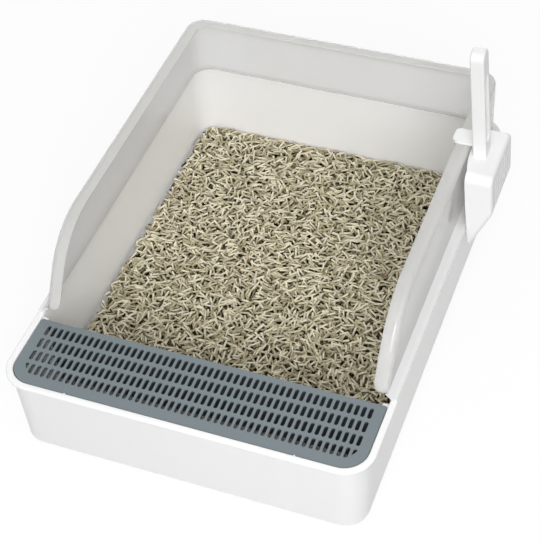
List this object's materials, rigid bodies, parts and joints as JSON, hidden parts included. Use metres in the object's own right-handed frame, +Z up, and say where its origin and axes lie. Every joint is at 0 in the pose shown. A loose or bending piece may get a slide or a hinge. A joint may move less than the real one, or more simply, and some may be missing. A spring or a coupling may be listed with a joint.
{
  "type": "litter tray",
  "caption": "Open rectangular litter tray with a see-through splash guard on its rim, a slotted foot grille with an apron at the low entry end, a bed of pellet litter and a slotted scoop hung on the guard.",
  "frame": {"origin": "middle of the flat face that the tray stands on", "axes": "+Z up, +Y from the low entry end with the grille to the back, +X to the side where the scoop hangs"},
  "size_m": [0.4146, 0.522, 0.3071],
  "materials": {
    "tray_plastic": "white, satin gloss",
    "grille_plastic": "slate grey, fine matte",
    "guard_plastic": "pale grey-white, satin gloss",
    "scoop_plastic": "white, satin gloss",
    "litter": "dry pressed pellets"
  },
  "bodies": {
    "tray_body": {"tray": "tray_plastic", "litter_bed": "litter"},
    "grille_body": {"foot_grille": "grille_plastic"},
    "guard_body": {"splash_guard": "guard_plastic"},
    "scoop_body": {"scoop": "scoop_plastic"}
  },
  "joints": [
    {"name": "grille_lift", "type": "slide", "parent": "tray_body", "child": "grille_body", "axis": [0, 0, 1], "range_m": [0, 0.12]},
    {"name": "guard_lift", "type": "slide", "parent": "tray_body", "child": "guard_body", "axis": [0, 0, 1], "range_m": [0, 0.12]},
    {"name": "scoop_lift", "type": "slide", "parent": "guard_body", "child": "scoop_body", "axis": [0, 0, 1], "range_m": [0, 0.13]}
  ]
}
